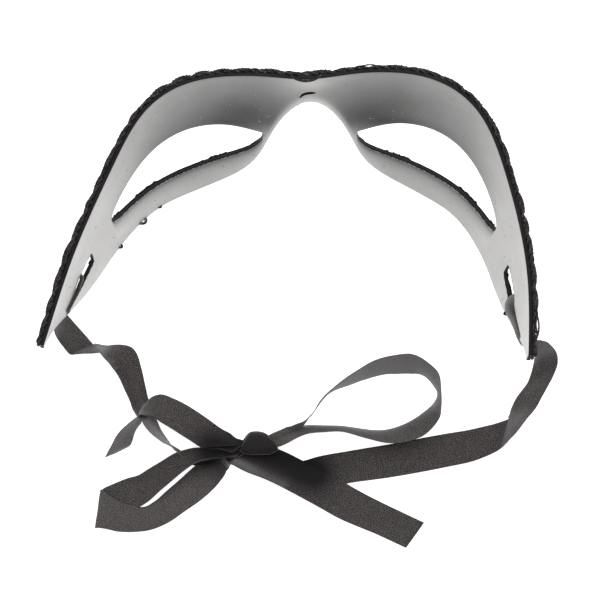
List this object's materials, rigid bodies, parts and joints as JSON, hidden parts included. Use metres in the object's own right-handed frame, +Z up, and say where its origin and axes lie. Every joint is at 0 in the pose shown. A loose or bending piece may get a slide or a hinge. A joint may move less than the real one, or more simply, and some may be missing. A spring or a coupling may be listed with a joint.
{
  "type": "domino mask",
  "caption": "Black lace-covered domino mask with a light grey moulded inside, almond eye openings, an open nose arch and flat ribbons tied in a bow behind it.",
  "frame": {"origin": "middle of the mask's own box on the surface it rests on, ribbons not counted", "axes": "+Y the way the wearer looks, +X to the wearer's right as seen from behind, +Z up"},
  "size_m": [0.1749, 0.1476, 0.067],
  "materials": {
    "moulded_shell": "light grey moulded plastic with a soft satin skin inside, painted black outside and on its cut edges",
    "black_lace": "black corded lace glued on, with a braided rim",
    "ribbon": "charcoal woven satin ribbon, 11 mm wide"
  },
  "bodies": {
    "root": {"mask_shell": "moulded_shell", "lace_cover": "black_lace", "ribbon_left_strap": "ribbon", "ribbon_right_strap": "ribbon", "bow_upper_loop": "ribbon", "bow_lower_loop": "ribbon", "bow_right_tail": "ribbon", "bow_left_tail": "ribbon", "bow_knot": "ribbon"}
  },
  "joints": []
}
